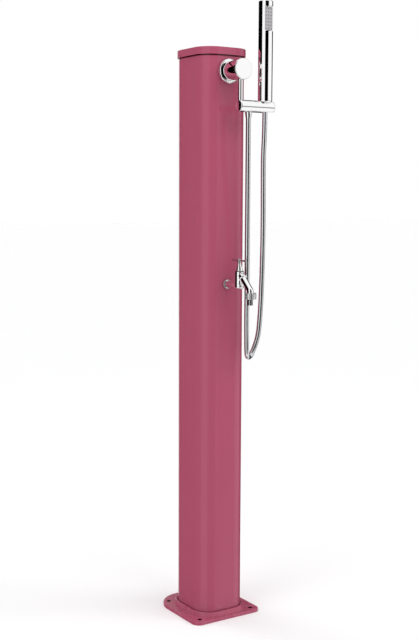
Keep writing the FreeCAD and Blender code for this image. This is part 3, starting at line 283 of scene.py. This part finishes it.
# Heights and places in metres, as they are in the solids.
DUST_HEIGHT = 0.030
ANCHOR_ACROSS = 0.065
ANCHOR_ALONG = 0.064
ANCHOR_MIDDLE_Y = -0.004
ANCHOR_EDGE = 0.0048
CAP_LINE = 1.1822
COLUMN_FOOT = 0.0163
BONNET_JOINT = 0.7474
HOSE_WINDING = 0.0021


def powder_coat(name, painted_shade_mask=None):
    """Raspberry powder coat: fine orange peel, a little dust low down, and painted shade where
    pieces meet and in holes.
    """
    finish = Finish(name)
    x, y, z = finish.parts()
    patches = finish.noise(9.0, 3.0)
    streaks = finish.noise(14.0, 3.0, vector=finish.stretched(1.0, 1.0, 0.08))
    tone = patches * 0.5 + streaks * 0.5
    colour = finish.mix(tone, srgb(164, 74, 99), srgb(171, 83, 107))
    low = 1 - z.above(DUST_HEIGHT, 0.060)
    dust = low * finish.noise(60.0, 4.0, 0.6).above(0.52, 0.30)
    colour = finish.mix(dust * 0.16, colour, srgb(176, 120, 132))
    # Painted shade: the mask lays a dark raspberry where shadow falls, at joints and in holes.
    if painted_shade_mask:
        colour = finish.mix(painted_shade_mask(x, y, z), colour, srgb(62, 14, 27))
    peel = finish.noise(420.0, 2.0) * 0.6 + finish.noise(1100.0, 1.0) * 0.4
    rough = 0.17 + streaks * 0.06 + dust * 0.20
    normal = finish.bump(peel, 0.00004, 0.5)
    return finish.surface(colour, rough, Normal=normal, Specular_IOR_Level=0.27)


def anchor_hole_shade(x, y, z):
    """Painted shade on the walls of the plate's four anchor holes, which fall dark in their depth.
    """
    across = x.size() - ANCHOR_ACROSS
    along = (y - ANCHOR_MIDDLE_Y).size() - ANCHOR_ALONG
    return 1 - (across * across + along * along).above(ANCHOR_EDGE ** 2, 0.000002)


def column_joint_shadows(x, y, z):
    """Painted shadow on the column: the line under the cap, and weaker painted shade at its foot
    in the collar's groove.
    """
    return z.above(CAP_LINE, 0.0022) + (1 - z.above(COLUMN_FOOT, 0.0012)) * 0.45


def chrome(name, rough, marks, shade=1.0, painted_shade_below=None):
    """Chrome with faint wipe marks and dried drops, and painted shade, near-black, below a given
    height where a joint falls in shadow.
    """
    finish = Finish(name)
    wipes = finish.noise(34.0, 3.0, 0.6, vector=finish.stretched(1.0, 1.0, 0.25))
    drops = finish.noise(240.0, 1.0).above(0.70, 0.06)
    tone = finish.noise(18.0, 2.0)
    dull, clear, dried = [(grey * shade,) * 3 for grey in (0.935, 0.97, 0.81)]
    colour = finish.mix(tone, dull, clear)
    colour = finish.mix(drops * marks, colour, dried)
    # Painted shade: near-black below the height, for the shadow at a joint.
    if painted_shade_below:
        height = finish.parts()[2]
        colour = finish.mix(1 - height.above(painted_shade_below, 0.0004), colour, (0.05, 0.05, 0.055))
    roughness = rough + wipes * rough * 0.8 + drops * marks * 0.12
    return finish.surface(colour, roughness, 1.0)


def machined_brass():
    finish = Finish("machined_brass")
    turning = finish.noise(60.0, 2.0, vector=finish.stretched(0.3, 1.0, 9.0))
    dull = finish.noise(25.0, 3.0)
    colour = finish.mix(dull, srgb(196, 160, 92), srgb(214, 183, 118))
    return finish.surface(colour, 0.26 + turning * 0.16, 1.0)


def plated_steel():
    finish = Finish("zinc_plated_steel")
    spangle = finish.noise(170.0, 2.0)
    colour = finish.mix(spangle, srgb(168, 170, 173), srgb(196, 198, 200))
    return finish.surface(colour, 0.30 + spangle * 0.12, 1.0)


def black_rubber():
    finish = Finish("black_rubber")
    grain = finish.noise(900.0, 2.0)
    colour = finish.mix(grain, srgb(44, 44, 46), srgb(58, 58, 60))
    return finish.surface(colour, 0.68 + grain * 0.12, Normal=finish.bump(grain, 0.00003, 0.6))


def grey_nozzle_rubber():
    finish = Finish("grey_nozzle_rubber")
    grain = finish.noise(1200.0, 2.0)
    colour = finish.mix(grain, srgb(96, 97, 100), srgb(112, 113, 116))
    return finish.surface(colour, 0.55 + grain * 0.12, Normal=finish.bump(grain, 0.00002, 0.6))


def spray_face_plastic():
    finish = Finish("spray_face_plastic")
    grain = finish.noise(1500.0, 2.0)
    tone = finish.noise(40.0, 2.0)
    colour = finish.mix(tone, srgb(149, 147, 150), srgb(160, 158, 161))
    return finish.surface(colour, 0.34 + grain * 0.10, Normal=finish.bump(grain, 0.00002, 0.5))


def moulded_plastic(name, dark, light):
    finish = Finish(name)
    grain = finish.noise(700.0, 3.0)
    colour = finish.mix(finish.noise(30.0), dark, light)
    return finish.surface(colour, 0.42 + grain * 0.14, Normal=finish.bump(grain, 0.00003, 0.5))


def hose_skin():
    """Smooth silver hose: a clear skin over a fine winding."""
    finish = Finish("silver_hose")
    along = finish.node("ShaderNodeAttribute", {"attribute_name": "hose_length"}, out="Fac")
    winding = (along * (2 * math.pi / HOSE_WINDING)).wave() * 0.5 + 0.5
    cloud = finish.noise(35.0, 2.0)
    tone = winding * 0.6 + cloud * 0.4
    colour = finish.mix(tone, srgb(206, 207, 210), srgb(228, 229, 231))
    normal = finish.bump(winding, 0.00006, 0.5)
    return finish.surface(colour, 0.14 + cloud * 0.05, 1.0, Normal=normal)


def dress(finish, *names):
    """Gives a finish to CAD nodes."""
    for name in names:
        if not nodes[name].material_slots:
            nodes[name].data.materials.append(finish)
        for slot in nodes[name].material_slots:
            slot.material = finish


dress(powder_coat("raspberry_plate", anchor_hole_shade), "base_plate")
dress(powder_coat("raspberry_column", column_joint_shadows), "column")
dress(powder_coat("raspberry_cap"), "top_cap")
dress(
    chrome("bright_chrome", 0.035, 0.10),
    "valve_flange", "valve_body", "valve_knob", "drop_tube", "holder_arm",
    "handset_body", "handset_end_cap", "hose_cone_nut", "hose_outlet_nut",
)
dress(chrome("fitting_chrome", 0.06, 0.25), "tap_body")
dress(chrome("rose_chrome", 0.10, 0.30, 0.75), "tap_rose")
# The bonnet's foot is painted near-black: painted shade at its joint with the barrel.
dress(chrome("bonnet_chrome", 0.06, 0.25, painted_shade_below=BONNET_JOINT), "tap_bonnet")
dress(chrome("handle_chrome", 0.08, 0.25, 0.62), "tap_handle", "tap_handle_screw")
dress(chrome("knurled_nickel", 0.18, 0.30, 0.86), "tap_outlet_nut")
dress(chrome("nozzle_nickel", 0.16, 0.30, 0.42), "tap_nozzle")
dress(
    machined_brass(),
    "inlet_nipple", "inlet_backnut", "tee_fitting", "elbow_fitting", "valve_backnut",
    "tap_backnut", "hose_outlet_tail", "valve_stem", "tap_stem", "tap_headwork",
)
dress(plated_steel(), "base_screws", "bracket_screws", "inlet_bracket", "knob_grub_screw")
dress(
    black_rubber(),
    "valve_wall_seal", "tap_wall_seal", "valve_washer", "tap_washer", "hose_washer",
    "tap_nozzle_washer",
)
dress(grey_nozzle_rubber(), "nozzle_mat")
dress(spray_face_plastic(), "spray_face")
white_pipe = moulded_plastic("white_pipe", srgb(222, 222, 218), srgb(232, 232, 229))
dress(white_pipe, "riser_lower", "riser_upper")
dress(moulded_plastic("dark_cartridge", srgb(52, 54, 58), srgb(66, 68, 72)), "valve_cartridge")
hose.data.materials.clear()
hose.data.materials.append(hose_skin())


# ------------------------------------------------------------------ studio

# What the metal sees as dark. Each flag is a middle and a half width in degrees, measured from
# the side the camera is on, to its right.
SIDE_FLAGS = [(-101, 47), (20, 27), (150, 32)]
FLAG_TOP = 0.75
CARD = (66, 14)
CARD_FOOT, CARD_TOP = -0.33, -0.03
GROUND_EDGE = -0.93
WORLD_STRENGTH = 0.70

# Where each soft sun comes from, its strength and its spread in degrees.
SUNS = [
    ("key", (0.8, -0.62, 0.62), 0.70, 35),
    ("fill", (-2.0, -0.5, 1.5), 0.62, 42),
    ("back", (-0.40, 1.22, 0.9), 0.60, 35),
]
PANEL_PLACE = (0.10, -0.95, 1.75)
PANEL_AIM = (0, 0, 1.05)
PANEL_WATTS = 4.4
PANEL_SIZE = 0.7

FLOOR_COLOUR = (0.95, 0.95, 0.955)
FLOOR_HALF = 30


def studio_world():
    """White to the eye. Metal sees a white room with dark flags at the camera's sides."""
    world = bpy.data.worlds.new("studio")
    bpy.context.scene.world = world
    world.use_nodes = True
    sheet = Finish("studio", world.node_tree)
    eye = sheet.node("ShaderNodeLightPath", out="Is Camera Ray")
    gloss = sheet.node("ShaderNodeLightPath", out="Is Glossy Ray")
    x, y, z = sheet.parts(sheet.node("ShaderNodeTexCoord", out="Generated"))
    bearing = x.bearing(y)

    def flag(middle, half):
        """1 inside a dark flag."""
        centre = CAMERA_TURN - math.radians(180 + middle)
        return 1 - (bearing - centre).wrapped().size().above(math.radians(half), 0.06)

    upright = 1 - z.size().above(FLAG_TOP, 0.2)
    first, second, third = [flag(middle, half) for middle, half in SIDE_FLAGS]
    sides = first.larger(second).larger(third) * upright
    card = flag(*CARD) * z.above(CARD_FOOT, 0.05) * (1 - z.above(CARD_TOP, 0.03)) * 0.7
    ground = (1 - z.above(GROUND_EDGE, 0.06)) * 0.6
    room = 1 - sides.larger(card).larger(ground)
    level = eye + (1 - eye) * (gloss * room + (1 - gloss) * WORLD_STRENGTH)
    background = sheet.node("ShaderNodeBackground", None, Color=(1, 1, 1), Strength=level)
    sheet.output(background, "ShaderNodeOutputWorld")


def aim(lamp, direction):
    """Turns a lamp so that it shines along a direction, unseen by metal."""
    lamp.rotation_euler = Vector(direction).to_track_quat("-Z", "Y").to_euler()
    lamp.visible_glossy = False


def soft_sun(name, origin, strength, spread):
    """Even light from a direction, so that the floor is as white far away as close by."""
    data = bpy.data.lights.new(name, "SUN")
    data.energy = strength
    data.angle = math.radians(spread)
    aim(add_object(name, data), -Vector(origin))


def high_panel():
    """A weak panel in front of the cap, which lifts the post's upper half a little."""
    data = bpy.data.lights.new("high_panel", "AREA")
    data.energy = PANEL_WATTS
    data.size = PANEL_SIZE
    lamp = add_object("high_panel", data)
    lamp.location = PANEL_PLACE
    aim(lamp, Vector(PANEL_AIM) - lamp.location)
    lamp.visible_camera = False


def studio_floor():
    """A pale floor that is white to the eye and keeps the post's shadow."""
    mesh = bpy.data.meshes.new("floor")
    form = bmesh.new()
    bmesh.ops.create_grid(form, x_segments=1, y_segments=1, size=FLOOR_HALF)
    form.to_mesh(mesh)
    form.free()
    floor = add_object("floor", mesh)
    finish = Finish("pale_floor")
    finish.output(finish.node("ShaderNodeBsdfDiffuse", None, Color=FLOOR_COLOUR))
    mesh.materials.append(finish.material)
    floor.visible_glossy = False


studio_world()
studio_floor()
for sun in SUNS:
    soft_sun(*sun)
high_panel()

bpy.context.scene.view_settings.view_transform = "Standard"
